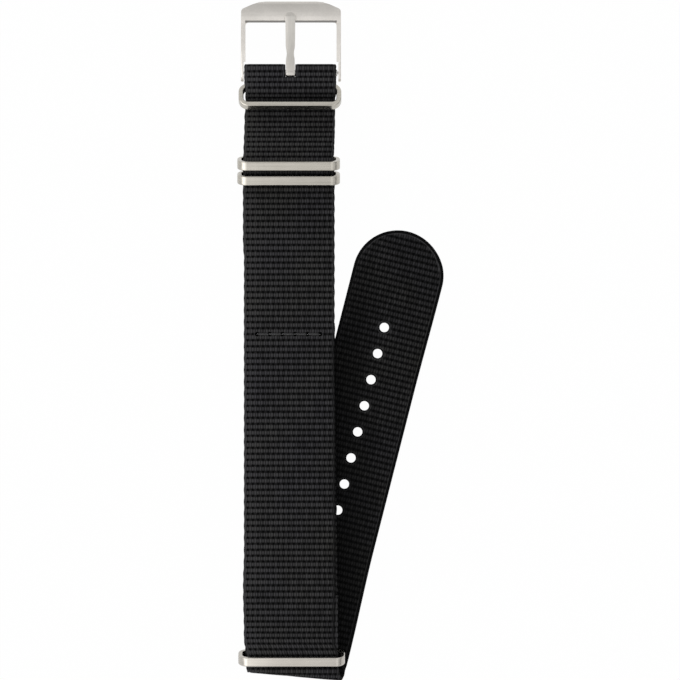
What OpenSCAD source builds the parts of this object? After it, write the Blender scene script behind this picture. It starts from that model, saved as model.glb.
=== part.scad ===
// Five-ring webbing watch strap, laid flat with its tail folded behind it.
// The strap lies along Y with the buckle at +Y, the floor is z = 0, and the origin is the middle of its footprint.
// Inside the modules, y = 0 is the spring bar's axis and x = 0 is the strap's own centre line.

/* [Webbing] */
// Width of the woven strap
web_w = 24; // [20:0.5:24]
// Thickness of the woven strap
web_t = 1.2; // [1:0.05:1.4]
// Softened corner of the woven edge
web_edge = 0.3; // [0.1:0.05:0.45]
// Air between layers of webbing that lie on each other
layer_gap = 0.05; // [0.02:0.01:0.1]
// Sideways lean of the strap's top end
top_shift = 0.4; // [0:0.1:0.5]

/* [Layout along the strap] */
// From the spring bar to the first ring's hinge line
ring_1_at = 3.9; // [3.8:0.1:5]
// From the spring bar to the second ring's hinge line
ring_2_at = 23.5; // [20:0.5:30]
// From the second ring's hinge line to the third's
ring_3_step = 3.9; // [3.9:0.1:5]
// From the spring bar to the row of stitches that joins the short strap
seam_at = 69.7; // [62:0.5:80]
// From the seam to the bottom ring's hinge line
ring_4_from_seam = 85.3; // [60:0.5:110]
// From the bottom ring's hinge line to the axis of the bottom fold
fold_past_ring = 1.9; // [1.8:0.1:3]

/* [Tail] */
// Angle between the tail and the strap, seen from above
tail_angle = 14.3; // [8:0.1:16]
// From the bottom fold to the centre of the round tip
tail_l = 106.4; // [90:0.5:112]
// Sideways run of the long strap into the fold
fold_shift = 1.5; // [0:0.1:1.6]
// Diameter of the punched holes
hole_d = 2.5; // [2:0.1:3]
// Distance between the holes
hole_pitch = 7.19; // [6:0.1:8]
// Number of holes
hole_n = 8; // [5:1:10]
// From the centre of the round tip to the first hole
first_hole = 14.4; // [8:0.1:20]

/* [Rings] */
// Air between the strap's edges and the arms of rings 1 to 3
ring_gap = 0.4; // [0.3:0.05:0.8]
// Air between the strap's edges and the arms of the bottom ring
ring_4_gap = 0.9; // [0.8:0.05:1.3]
// Height of a ring, outside
ring_h = 6.8; // [6.4:0.1:7.2]
// Width of the flat band that the rings are bent from
band_w = 2.5; // [2:0.1:2.6]
// Thickness of that band
band_t = 1.3; // [1:0.05:1.35]
// Rounded edge of the band
band_edge = 0.35; // [0.2:0.05:0.45]
// Outer radius of a ring's corners
ring_corner = 2.5; // [2:0.1:3]
// Air round a ring's rear bar in its pocket of webbing
pocket_gap = 0.06; // [0.04:0.01:0.1]
// Lean of the first ring at rest, from upright towards the tail
ring_1_angle = 62; // [55:1:64]
// Lean of the second and third rings at rest
ring_2_angle = 15; // [12:1:18]
// Lean of the bottom ring at rest
ring_4_angle = 20; // [10:1:22]

/* [Buckle] */
// Air between the strap's edges and the buckle's legs
buckle_gap = 0.15; // [0.1:0.05:0.4]
// From the spring bar's axis to the far edge of the frame
buckle_reach = 19.1; // [17:0.1:22]
// Width of the top bar, seen from above
top_bar = 5.15; // [4:0.1:6]
// Thickness of the legs, seen from above
leg_t = 1.2; // [1.05:0.05:1.25]
// Height of the legs at the spring bar
leg_h = 3.2; // [2.8:0.1:3.3]
// Length of the legs past the spring bar's axis
leg_past = 2.4; // [2:0.05:2.4]
// Depth of the relief inside the leg ends that clears the webbing
leg_relief = 0.5; // [0.4:0.05:0.55]
// Height of the top bar at its inner edge
bar_h = 3; // [2.4:0.1:3.4]
// Sideways play that the buckle has taken up on the strap
buckle_play = 0.2; // [0:0.05:0.25]

/* [Tang] */
// Width of the tang at its tip
tang_w = 2.7; // [2.2:0.05:2.8]
// Width of the tang at its eye
eye_w = 2.4; // [2:0.05:2.5]
// Thickness of the tang
tang_t = 0.9; // [0.7:0.05:0.95]
// From the spring bar's axis to the tang's tip
tang_reach = 16.3; // [15:0.1:17.5]
// Sideways place of the tang
tang_shift = 0.43; // [0.3:0.01:0.6]

/* [Spring bar] */
// Outside diameter of the spring bar's tube
tube_d = 1.8; // [1.6:0.05:1.9]
// Wall of the tube
tube_wall = 0.3; // [0.25:0.01:0.35]
// Diameter of the pins at the ends of the spring bar
pin_d = 0.8; // [0.6:0.05:0.85]
// Radial clearance of a pin, a plunger or the tang on what it turns or slides in
fit = 0.05; // [0.02:0.01:0.08]
// Thickness of the coil spring's wire
wire_d = 0.2; // [0.15:0.01:0.22]
// Turns of the coil spring
turns = 22; // [14:1:24]

/* [Stitching] */
// Thickness of the sewing thread
thread_d = 0.4; // [0.3:0.05:0.5]
// Distance between needle holes
stitch = 3.35; // [3:0.05:3.6]
// Number of needle holes in a row
stitch_n = 6; // [3:1:6]
// From the strap's left edge to the first needle hole
first_stitch = 3.6; // [2.5:0.1:4]

/* [Hidden] */

$fn = 48;
STEEL = [0.76, 0.75, 0.72];
NYLON = [0.13, 0.13, 0.135];
THREAD = [0.08, 0.08, 0.085];
arc_angle = 15;

// Places along the strap, y = 0 at the spring bar
ring_1_y = -ring_1_at;
ring_2_y = -ring_2_at;
ring_3_y = ring_2_y - ring_3_step;
seam_y = -seam_at;
ring_4_y = seam_y - ring_4_from_seam;
fold_y = ring_4_y - fold_past_ring;

function ease(t) = t <= 0 ? 0 : t >= 1 ? 1 : t * t * (3 - 2 * t);

// Sideways places: the long strap's at y, the short strap's, the bottom ring's between them, and the buckle's
top_blend = 16;
fold_blend = 6;
function run_x(y) =
    top_shift * ease((y - ring_3_y) / top_blend) + fold_shift * ease((fold_y + fold_blend - y) / fold_blend);
short_shift = 0.4;
ring_4_shift = (short_shift + run_x(ring_4_y)) / 2;
buckle_shift = top_shift + buckle_play;

// Widths outside
ring_w = web_w + 2 * (ring_gap + band_t);
ring_4_w = web_w + 2 * (ring_4_gap + band_t);
buckle_w = web_w + 2 * (buckle_gap + leg_t);

// Middle height of a layer of webbing: 0 lies on the floor, 1 on that, and so on
layer_step = web_t + layer_gap;
function level(n) = web_t / 2 + n * layer_step;

// A ring's rear bar turns inside a round pocket of webbing
ring_drop = ring_h - band_t;
corner_in = ring_corner - band_t;
function corner_rise(side_gap) =
    side_gap < corner_in ? corner_in - sqrt(corner_in * corner_in - pow(corner_in - side_gap, 2)) : 0;
function swept(side_gap) = let(rise = corner_rise(side_gap))
    norm([band_w / 2 - band_edge, band_t / 2 + rise - band_edge]) + band_edge;
ring_play = 0.06;
pocket_r = swept(ring_gap - ring_play) + pocket_gap + web_t / 2;
pocket_4_r = swept(ring_4_gap - abs(ring_4_shift - short_shift)) + pocket_gap + web_t / 2;
ring_z = level(0) + pocket_r;
ring_4_z = level(1) + pocket_4_r;

// The strap's loop round the spring bar
loop_gap = 0.3;
loop_r = tube_d / 2 + loop_gap + web_t / 2;
bar_z = level(0) + loop_r;

// A bend is [y, z, radius, side], where side is 1 where the route turns left round it and -1 where it turns right.
// A route runs from bend to bend along the straight lines that touch both.
function left(h) = [-sin(h), cos(h)];
function unwound(a) = a < -90 ? a + 360 : a;
function heading(a, b) =
    let(v = [b[0] - a[0], b[1] - a[1]])
    unwound(atan2(v[1], v[0])) - asin((b[3] * b[2] - a[3] * a[2]) / norm(v));
function on_bend(b, h) = [b[0], b[1]] - b[3] * b[2] * left(h);
function steps(a, b) =
    let(n = max(1, ceil(abs(b - a) / arc_angle - 0.01)))
    [for (k = [0:n]) a + (b - a) * k / n];

// Points [y, z, heading] of an open route, from the heading start on the first bend to where it meets the last
function route(bends, start) = [
    for (i = [0:len(bends) - 1])
        let(last = i == len(bends) - 1)
        let(h0 = i == 0 ? start : heading(bends[i - 1], bends[i]))
        for (h = last || bends[i][2] == 0 ? [h0] : steps(h0, heading(bends[i], bends[i + 1])))
            let(p = on_bend(bends[i], h)) [p[0], p[1], h]
];

// The same route with points along its straights too, no more than run_step apart
run_step = 6;
function dense(points) = [
    for (i = [0:len(points) - 2])
        let(a = points[i], b = points[i + 1], n = ceil(norm([b[0] - a[0], b[1] - a[1]]) / run_step))
        for (k = [0:n - 1]) a + (b - a) * k / n,
    points[len(points) - 1]
];

// Points of a closed outline that turns right all the way round convex bends [x, y, radius]
function outline(bends) = [
    for (i = [0:len(bends) - 1])
        let(n = len(bends), here = concat(bends[i], [-1]))
        let(before = concat(bends[(i + n - 1) % n], [-1]), after = concat(bends[(i + 1) % n], [-1]))
        let(h0 = heading(before, here), h = heading(here, after), h1 = h > h0 ? h - 360 : h)
        for (a = steps(h0, h1)) on_bend(here, a)
];

// A section of webbing is [middle, sideways direction, outward direction, width].
// On a route, its outward side is on the right where side is 1 and on the left where side is -1.
function route_section(p, x, side) = [[x, p[0], p[1]], [side, 0, 0], side * [0, sin(p[2]), -cos(p[2])], web_w];
// Its eight corners run round the softened edge
function rim(s) =
    let(a = s[3] / 2, b = web_t / 2, c = web_edge)
    [for (q = [[c - a, -b], [a - c, -b], [a, c - b], [a, b - c], [a - c, b], [c - a, b], [-a, b - c], [-a, c - b]])
        s[0] + s[1] * q[0] + s[2] * q[1]];

module webbing(sections) {
    n = len(sections);
    k = 8;
    sides = [for (i = [0:n - 2]) for (j = [0:k - 1]) let(a = i * k + j, b = i * k + (j + 1) % k)
        each [[a, b + k, b], [a, a + k, b + k]]];
    caps = [[for (j = [0:k - 1]) j], [for (j = [k - 1:-1:0]) (n - 1) * k + j]];
    polyhedron([for (s = sections) each rim(s)], concat(sides, caps));
}

// The long strap: from the seam under the rings, round the spring bar, back over the rings and down to the fold
soft_r = 8;
dip_r = 2.5;
rise_r = 6;
ramp_l = 16;
step_l = 10;
end_gap = 0.8;
seam_lap = 5.7;
seam_run = 1.5;
dip_l = 5.2;
ring_slope = 9.5;
end_slope = 8;
end_lap = 16;
crest_4_r = pocket_4_r + layer_step;
loop_end_y = ring_4_y + end_lap;
under_bends = [
    [seam_y - seam_run, level(2), 0, 1],
    [seam_y + seam_lap, level(2) - soft_r, soft_r, -1],
    [seam_y + seam_lap + ramp_l, level(0) + soft_r, soft_r, 1],
];
over_bends = [
    [0, bar_z, loop_r, 1],
    [ring_1_y, ring_z, pocket_r, 1],
    [ring_1_y - dip_l, level(1) + dip_r, dip_r, -1],
    [ring_2_y + ring_slope, level(1) + rise_r, rise_r, -1],
    [ring_2_y, ring_z, pocket_r, 1],
    [ring_3_y, ring_z, pocket_r, 1],
    [ring_3_y - ring_slope, level(1) + rise_r, rise_r, -1],
    [seam_y + seam_lap + ramp_l, level(0) + soft_r, soft_r - layer_step, -1],
    [seam_y + seam_lap, level(2) - soft_r, soft_r + layer_step, 1],
    [seam_y - seam_run - end_gap, level(3) - soft_r, soft_r, 1],
    [seam_y - seam_run - step_l, level(2) + soft_r, soft_r, -1],
    [loop_end_y + step_l, level(2) + soft_r, soft_r, -1],
    [loop_end_y + 2 * end_gap, level(3) - soft_r, soft_r, 1],
    [ring_4_y + end_slope, level(2) + rise_r, rise_r - layer_step, -1],
    [ring_4_y, ring_4_z, crest_4_r, 1],
];
// The fold brings the strap from the top of its crest over the bottom ring down to the floor
fold_slack = 0.02;
fold_r = (ring_4_z + crest_4_r - level(0)) / 2 - fold_slack;
fold_z = level(0) + fold_r;
fold_bend = [fold_y, fold_z, fold_r, 1];
fold_start = heading(over_bends[len(over_bends) - 1], fold_bend);

// The bottom fold wraps a cylinder whose axis leans by half of the tail's angle, so the strap climbs along it
tilt = tail_angle / 2;
fold_axis = [cos(tilt), -sin(tilt), 0];
fold_out = [-sin(tilt), -cos(tilt), 0];
function fold_section(h) =
    let(turned = h - 180, drift = fold_r * tan(tilt) * turned * PI / 180, out = cos(turned) * [0, 0, 1] + sin(turned) * fold_out)
    [[fold_shift, fold_y, fold_z] + drift * fold_axis + fold_r * out, fold_axis, out, web_w / cos(tilt)];

tail_dir = [sin(tail_angle), cos(tail_angle), 0];
tail_side = [cos(tail_angle), -sin(tail_angle), 0];
tail_start = fold_section(360)[0];
function tail_point(l) = tail_start + l * tail_dir;
function tail_section(l) = [tail_point(l), tail_side, [0, 0, -1], web_w];

long_route = dense(route(concat(under_bends, over_bends, [fold_bend]), 0));
long_sections = concat(
    [for (i = [0:len(long_route) - 2]) route_section(long_route[i], run_x(long_route[i][0]), 1)],
    [for (h = steps(fold_start, 360)) fold_section(h)],
    [tail_section(run_step), tail_section(tail_l + web_w / 2)]
);

// Cut that rounds the tail's tip
module tip_cut() {
    translate([tail_point(tail_l)[0], tail_point(tail_l)[1], -1])
        rotate([0, 0, -tail_angle])
            linear_extrude(web_t + 2)
                difference() {
                    translate([-web_w, 0]) square([2 * web_w, web_w]);
                    circle(d = web_w, $fn = 96);
                }
}

module tail_holes() {
    for (i = [0:hole_n - 1]) {
        p = tail_point(tail_l - first_hole - i * hole_pitch);
        translate([p[0], p[1], -1]) cylinder(h = web_t + 2, d = hole_d);
    }
}

// Slot through the loop that the tang comes out of
slot_gap = 0.15;
slot_back = tang_t + tube_d / 2 + fit + slot_gap;
module tang_slot() {
    slot_w = max(tang_w, eye_w) + 2 * slot_gap;
    translate([tang_shift - slot_w / 2, -slot_back, -1]) cube([slot_w, slot_back + 2 * loop_r + 1, bar_z + 2 * loop_r + 2]);
}

// The needle holes of a stitch row between the heights low and high, and the channels its thread sinks into
function needle_x(i) = -web_w / 2 + first_stitch + i * stitch;
needle_gap = 0.04;
module stitch_cut(y, x, low, high) {
    r = thread_d / 2 + needle_gap;
    run = (stitch_n - 1) * stitch;
    for (i = [0:stitch_n - 1])
        translate([x + needle_x(i), y, low - 0.02]) cylinder(h = high - low + 0.04, r = r, $fn = 24);
    for (z = [low - 0.02, high - 2 * r + needle_gap])
        translate([x + needle_x(0) - r, y - r, z]) cube([run + 2 * r, 2 * r, 2 * r - needle_gap + 0.02]);
}

// Heights of the outer faces that each row of stitches holds together
seam_low = level(1) - web_t / 2;
seam_high = level(3) + web_t / 2;
loop_low = level(1) - web_t / 2;
loop_high = level(2) + web_t / 2;

module long_strap() {
    color(NYLON)
        difference() {
            webbing(long_sections);
            tip_cut();
            tail_holes();
            tang_slot();
            stitch_cut(seam_y, 0, seam_low, seam_high);
        }
}

// The short strap: from the seam to the bottom ring, round its rear bar and back on top of itself
short_lap = 3;
loop_stitch_y = loop_end_y - short_lap;
short_bends = [
    [seam_y + short_lap, level(1), 0, 1],
    [ring_4_y, ring_4_z, pocket_4_r, -1],
    [ring_4_y + end_slope, level(2) + rise_r, rise_r, 1],
    [loop_end_y, level(2), 0, 1],
];
short_route = dense(route(short_bends, 180));

module short_strap() {
    color(NYLON)
        difference() {
            webbing([for (p = short_route) route_section(p, short_shift, -1)]);
            stitch_cut(seam_y, 0, seam_low, seam_high);
            stitch_cut(loop_stitch_y, short_shift, loop_low, loop_high);
        }
}

// A row of lockstitch: thread sunk flush into the top and the underside, joined through the needle holes
module stitch_row(y, x, low, high) {
    r = thread_d / 2;
    for (z = [low + r, high - r]) {
        translate([x + needle_x(0), y, z]) rotate([0, 90, 0]) cylinder(h = (stitch_n - 1) * stitch, r = r, $fn = 16);
        for (i = [0, stitch_n - 1])
            translate([x + needle_x(i), y, z]) sphere(r = r, $fn = 16);
    }
    for (i = [0:stitch_n - 1])
        translate([x + needle_x(i), y, low + r]) cylinder(h = high - low - 2 * r, r = r, $fn = 16);
}

module seam_stitches() {
    color(THREAD) stitch_row(seam_y, 0, seam_low, seam_high);
}

module end_loop_stitches() {
    color(THREAD) stitch_row(loop_stitch_y, short_shift, loop_low, loop_high);
}

// Flat band with rounded edges, its thickness along x and its width along y
band_angle = 22.5;
module band() {
    a = band_t / 2 - band_edge;
    b = band_w / 2 - band_edge;
    polygon([for (c = [[a, b, 0], [-a, b, 90], [-a, -b, 180], [a, -b, 270]])
        for (t = [c[2]:band_angle:c[2] + 90]) [c[0], c[1]] + band_edge * [cos(t), sin(t)]]);
}

// A ring stands in the xz plane, with the middle of its rear bar at the origin and its front bar above it
module ring(outer_w) {
    half = outer_w / 2 - ring_corner;
    bend_r = ring_corner - band_t / 2;
    low = bend_r;
    high = ring_drop - bend_r;
    for (side = [-1, 1]) {
        translate([side * (half + bend_r), 0, low]) linear_extrude(high - low) band();
        for (q = [[low, 180], [high, 0]])
            translate([side * half, 0, q[0]])
                rotate([90, 0, 0])
                    rotate([0, 0, side > 0 ? (q[1] == 0 ? 0 : -90) : (q[1] == 0 ? 90 : 180)])
                        rotate_extrude(angle = 90, $fn = 96) translate([bend_r, 0]) band();
    }
    for (z = [0, ring_drop])
        translate([-half, 0, z]) rotate([90, 0, 90]) linear_extrude(2 * half) rotate([0, 0, 90]) band();
}

module placed_ring(outer_w, x, y, z, lean) {
    color(STEEL) translate([x, y, z]) rotate([lean, 0, 0]) ring(outer_w);
}

module ring_1() { placed_ring(ring_w, top_shift - ring_play, ring_1_y, ring_z, ring_1_angle); }
module ring_2() { placed_ring(ring_w, 0, ring_2_y, ring_z, ring_2_angle); }
module ring_3() { placed_ring(ring_w, 0, ring_3_y, ring_z, ring_2_angle); }
module ring_4() { placed_ring(ring_4_w, ring_4_shift, ring_4_y, ring_4_z, ring_4_angle); }

// Buckle frame: its outline from above, cut to its side view and its end view
half_w = buckle_w / 2;
crown_r = 9;
crown_at = half_w / 2;
shoulder_r = 1.2;
shoulder_drop = 2.9;
leg_end_r = 0.4;
crown = [
    [-half_w + leg_end_r, leg_end_r - leg_past, leg_end_r], [-half_w + shoulder_r, buckle_reach - shoulder_drop, shoulder_r],
    [-crown_at, buckle_reach - crown_r, crown_r], [crown_at, buckle_reach - crown_r, crown_r],
    [half_w - shoulder_r, buckle_reach - shoulder_drop, shoulder_r], [half_w - leg_end_r, leg_end_r - leg_past, leg_end_r],
];
leg_top = bar_z + leg_h / 2;
inner_y = buckle_reach - top_bar;
nose_r = 1;
back_r = 5;
leg_bow = 16;
leg_drop = 0.1;
leg_slope = 8;
heel_r = 0.6;
side_view = [
    [leg_h / 2 - leg_past, bar_z, leg_h / 2], [inner_y - leg_slope, leg_top - leg_drop - leg_bow, leg_bow],
    [inner_y + heel_r, bar_h - back_r, back_r], [buckle_reach - nose_r, nose_r, nose_r], [inner_y - 1, heel_r, heel_r],
];
leg_round = 0.45;
foot_r = 0.3;

module end_view() {
    polygon(outline([
        [-half_w + leg_round, foot_r, foot_r], [-half_w + leg_round, leg_top - leg_round, leg_round],
        [half_w - leg_round, leg_top - leg_round, leg_round], [half_w - leg_round, foot_r, foot_r],
    ]));
}

window_corner = 0.8;
bevel_w = 0.45;
bevel_h = 0.8;
inner_half = half_w - leg_t;
module buckle_window() {
    far = inner_y - bevel_w;
    translate([0, 0, -1]) linear_extrude(leg_top + 2)
        polygon(outline([
            [-inner_half, -leg_past - 2, 0], [-inner_half + window_corner, far - window_corner, window_corner],
            [inner_half - window_corner, far - window_corner, window_corner], [inner_half, -leg_past - 2, 0],
        ]));
    // Bevel along the top bar's inner edge
    rotate([90, 0, 90]) translate([0, 0, -inner_half]) linear_extrude(2 * inner_half)
        polygon([[far - 1, bar_h - bevel_h], [far, bar_h - bevel_h], [far + bevel_w, bar_h], [far + bevel_w, bar_h + 1], [far - 1, bar_h + 1]]);
    // Relief inside the leg ends
    translate([-inner_half - leg_relief, -leg_past - 1, -1])
        cube([2 * (inner_half + leg_relief), leg_past + 1 + loop_r + web_t, leg_top + 2]);
}

// The tang lies in a shallow groove across the top bar
tang_x = tang_shift - buckle_shift;
rest_gap = 0.03;
groove_deep = 0.35;
groove_gap = 0.2;
groove_z = bar_h - groove_deep;
tip_z = groove_z + rest_gap;
module tang_groove() {
    r = tang_w / 2 + groove_gap;
    start = inner_y - bevel_w - 1;
    end = tang_reach + groove_gap - r;
    translate([tang_x, 0, groove_z]) {
        translate([-r, start, 0]) cube([2 * r, end - start, leg_h]);
        translate([0, end, 0]) cylinder(h = leg_h, r = r);
    }
}

module buckle_frame() {
    color(STEEL) translate([buckle_shift, 0, 0])
        difference() {
            intersection() {
                translate([0, 0, -1]) linear_extrude(leg_top + 2) polygon(outline(crown));
                rotate([90, 0, 90]) translate([0, 0, -half_w - 1]) linear_extrude(buckle_w + 2) polygon(outline(side_view));
                rotate([90, 0, 0]) translate([0, 0, -buckle_reach - 1]) linear_extrude(buckle_reach + leg_past + 2) end_view();
            }
            buckle_window();
            tang_groove();
            translate([-half_w - 1, 0, bar_z]) rotate([0, 90, 0]) cylinder(h = buckle_w + 2, d = pin_d + 2 * fit);
        }
}

// Tang: an eye rolled round the spring bar and a blade that reaches over the top bar
eye_in = tube_d / 2 + fit;
eye_out = eye_in + tang_t;
waist = 0.27;
waist_at = 5.2;
waist_l = 2.2;
function tang_half(y) =
    (eye_w - 0.08 + (tang_w - eye_w + 0.08) * y / tang_reach) / 2 - waist * ease(1 - abs(y - waist_at) / waist_l);
blade_bow = 20;
blade_nose = 1.5;
blade_sink = 0.03;
blade_dip = [inner_y / 2, tip_z + 0.17 + tang_t + blade_bow];
blade_top = route([
    [0, bar_z, eye_out - blade_sink, -1], [blade_dip[0], blade_dip[1], blade_bow, 1],
    [tang_reach - blade_nose, tip_z + tang_t - blade_nose, blade_nose, -1], [tang_reach, tip_z + tang_t / 2, 0, -1],
], 0);
blade_low = route([
    [0, bar_z, eye_in + blade_sink, -1], [blade_dip[0], blade_dip[1], blade_bow + tang_t, 1], [tang_reach, tip_z, 0, -1],
], 0);
module blade_side() {
    n = len(blade_low);
    polygon(concat([for (p = blade_top) [p[0], p[1]]], [for (i = [n - 1:-1:0]) [blade_low[i][0], blade_low[i][1]]]));
}
module blade_plan() {
    y_end = tang_reach - tang_w / 2;
    ys = concat(-1, [for (k = [-3:3]) waist_at + waist_l * k / 3], y_end);
    n = len(ys);
    tip = [for (a = [75:-15:-75]) [sin(-a), cos(a)] * tang_half(y_end) + [0, y_end]];
    polygon(concat([for (y = ys) [-tang_half(y), y]], tip, [for (k = [n - 1:-1:0]) [tang_half(ys[k]), ys[k]]]));
}
eye_slit = 0.35;
module tang() {
    color(STEEL) translate([tang_shift, 0, 0])
        difference() {
            union() {
                intersection() {
                    rotate([90, 0, 90]) translate([0, 0, -tang_w]) linear_extrude(2 * tang_w) blade_side();
                    linear_extrude(bar_z + 2 * eye_out) blade_plan();
                }
                translate([-eye_w / 2, 0, bar_z]) rotate([0, 90, 0]) cylinder(h = eye_w, r = eye_out);
            }
            translate([-tang_w, 0, bar_z]) rotate([0, 90, 0]) cylinder(h = 2 * tang_w, r = eye_in);
            // Slit where the rolled end meets the blade
            translate([-tang_w, eye_in * 0.4, bar_z + eye_in - 0.55 - eye_slit]) cube([2 * tang_w, eye_out, eye_slit]);
        }
}

// Spring bar, between the reliefs of the leg ends
bar_gap = 0.3;
tube_half = inner_half + leg_relief - bar_gap;
bore_r = tube_d / 2 - tube_wall;
lip = 0.4;
plunger_l = 2.6;
pin_sunk = 0.05;
pin_out = half_w - pin_sunk - tube_half;

module spring_bar_tube() {
    color(STEEL) translate([buckle_shift, 0, bar_z]) rotate([0, 90, 0])
        difference() {
            translate([0, 0, -tube_half]) cylinder(h = 2 * tube_half, d = tube_d);
            translate([0, 0, lip - tube_half]) cylinder(h = 2 * (tube_half - lip), r = bore_r);
            translate([0, 0, -tube_half - 1]) cylinder(h = 2 * tube_half + 2, d = pin_d + 2 * fit);
        }
}

// A tip points along +x: a plunger inside the tube and the pin that reaches into the leg
module spring_bar_tip() {
    color(STEEL) translate([0, 0, bar_z]) rotate([0, 90, 0]) {
        translate([0, 0, tube_half - lip - plunger_l]) cylinder(h = plunger_l - fit, r = bore_r - fit);
        translate([0, 0, tube_half - lip - plunger_l]) cylinder(h = plunger_l + lip + pin_out, d = pin_d);
    }
}

module spring_bar_tip_left() { translate([buckle_shift, 0, 0]) mirror([1, 0, 0]) spring_bar_tip(); }
module spring_bar_tip_right() { translate([buckle_shift, 0, 0]) spring_bar_tip(); }

// Coil spring between the plungers, one unbroken wire
coil_r = bore_r - fit - wire_d / 2;
coil_half = tube_half - lip - plunger_l - 0.02 - wire_d / 2;
coil_steps = 9;
coil_n = turns * coil_steps;
function coil_point(i) = let(a = 360 * i / coil_steps) [-coil_half + 2 * coil_half * i / coil_n, coil_r * cos(a), coil_r * sin(a)];
echo("least gap between the spring's turns, mm",
    min([for (i = [0:coil_n - coil_steps]) norm(coil_point(i + coil_steps) - coil_point(i))]) - wire_d);

module spring_bar_spring() {
    k = 5;
    rings = [for (i = [0:coil_n]) let(a = 360 * i / coil_steps) [for (j = [0:k - 1]) let(t = 360 * j / k)
        coil_point(i) + wire_d / 2 * (cos(t) * [0, cos(a), sin(a)] + sin(t) * [1, 0, 0])]];
    sides = [for (i = [0:coil_n - 1]) for (j = [0:k - 1]) let(a = i * k + j, b = i * k + (j + 1) % k)
        each [[a, b, b + k], [a, b + k, a + k]]];
    caps = [[for (j = [k - 1:-1:0]) j], [for (j = [0:k - 1]) coil_n * k + j]];
    color(STEEL) translate([buckle_shift, 0, bar_z]) polyhedron([for (r = rings) each r], concat(sides, caps));
}

// The footprint's middle, from the outermost pieces
left_x = min(-ring_w / 2, ring_4_shift - ring_4_w / 2, buckle_shift - buckle_w / 2);
right_x = tail_point(tail_l)[0] + web_w / 2;
far_y = buckle_reach;
near_y = fold_y - fold_r - web_t / 2 - web_w / 2 * tan(tilt);
module in_frame() { translate([-(left_x + right_x) / 2, -(far_y + near_y) / 2, 0]) children(); }

in_frame() long_strap();
in_frame() short_strap();
in_frame() seam_stitches();
in_frame() end_loop_stitches();
in_frame() buckle_frame();
in_frame() tang();
in_frame() spring_bar_tube();
in_frame() spring_bar_tip_left();
in_frame() spring_bar_tip_right();
in_frame() spring_bar_spring();
in_frame() ring_1();
in_frame() ring_2();
in_frame() ring_3();
in_frame() ring_4();
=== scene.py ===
# %% [markdown]
# # A webbing watch strap with a buckle and four rings
# This lesson dresses a watch strap that was drawn in CAD. The CAD gives every piece its place, its size and its
# joint. Here the plain grey solids become woven nylon, sewing thread and satin steel. Everything is in metres.

# %% Load the CAD frame
import math

import bmesh
import bpy
import numpy as np
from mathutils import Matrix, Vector


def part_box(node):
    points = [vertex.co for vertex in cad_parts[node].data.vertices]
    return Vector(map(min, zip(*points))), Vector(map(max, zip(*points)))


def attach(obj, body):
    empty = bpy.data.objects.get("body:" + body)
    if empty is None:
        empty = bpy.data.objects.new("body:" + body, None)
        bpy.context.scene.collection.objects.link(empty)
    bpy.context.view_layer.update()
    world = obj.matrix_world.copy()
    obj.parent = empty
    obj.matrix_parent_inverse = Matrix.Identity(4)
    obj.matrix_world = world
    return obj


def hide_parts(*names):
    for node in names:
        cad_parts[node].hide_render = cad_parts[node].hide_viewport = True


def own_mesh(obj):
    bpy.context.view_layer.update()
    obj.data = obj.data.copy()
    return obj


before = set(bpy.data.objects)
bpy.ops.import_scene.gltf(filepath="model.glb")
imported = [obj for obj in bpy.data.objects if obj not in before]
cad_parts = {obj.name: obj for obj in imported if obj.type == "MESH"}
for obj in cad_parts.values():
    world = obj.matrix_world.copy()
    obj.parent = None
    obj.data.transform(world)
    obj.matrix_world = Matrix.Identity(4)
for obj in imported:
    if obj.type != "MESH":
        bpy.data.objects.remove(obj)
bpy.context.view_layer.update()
print("nodes:", ", ".join(sorted(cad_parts)))

# %% [markdown]
# ## Camera, light and ground
# The strap was photographed from straight above, lying flat. A lens that is very long and far away keeps its edges
# parallel, so a ring that stands 7 mm up stays over its own foot. The picture is 181 mm wide at the strap.

# %% Camera
MM = 0.001
PICTURE_WIDTH = 181.33 * MM
PICTURE_CENTRE_Y = 0.33 * MM
STRAP_TOP = 4 * MM
CAMERA_DISTANCE, CAMERA_REACH = 2.5, 20
SENSOR = 36


def new_object(name, data):
    """Puts a camera, a lamp or a mesh into the scene."""
    obj = bpy.data.objects.new(name, data)
    bpy.context.scene.collection.objects.link(obj)
    return obj


camera_data = bpy.data.cameras.new("camera")
camera_data.sensor_width = SENSOR
camera_data.lens = SENSOR * CAMERA_DISTANCE / PICTURE_WIDTH
camera_data.clip_end = CAMERA_REACH
camera = new_object("camera", camera_data)
camera.location = (0, PICTURE_CENTRE_Y, STRAP_TOP + CAMERA_DISTANCE)
bpy.context.scene.camera = camera
bpy.context.scene.view_settings.view_transform = "Standard"
print(f"lens {camera_data.lens:.0f} mm")

# %% [markdown]
# A black ribbed weave only shows its ribs where light comes in low across them. The ribs run from left to right, so
# one soft box hangs beyond the buckle end and one, weaker, beyond the other end. Steel would show the lamps as burnt
# white spots, so they are hidden from shiny rays: the steel shows the room instead. A dim world fills the rest.

# %% Soft boxes
KEY_PLACE, KEY_WATTS = (-0.45, 0.95, 0.95), 6.5
FILL_PLACE, FILL_WATTS = (0.3, -1.0, 0.9), 2.6
BOX_SIZE = 1.4


def soft_box(name, place, watts):
    """A square lamp that faces the middle of the strap."""
    data = bpy.data.lights.new(name, "AREA")
    data.shape = "SQUARE"
    data.size = BOX_SIZE
    data.energy = watts
    lamp = new_object(name, data)
    lamp.visible_glossy = False
    lamp.location = place
    lamp.rotation_euler = (-Vector(place)).to_track_quat("-Z", "Y").to_euler()


soft_box("key_box", KEY_PLACE, KEY_WATTS)
soft_box("fill_box", FILL_PLACE, FILL_WATTS)

# %% [markdown]
# The world and every material are made of nodes. These helpers add a node, feed its inputs and do sums, so that each
# look further down reads as a short list of steps.

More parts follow.
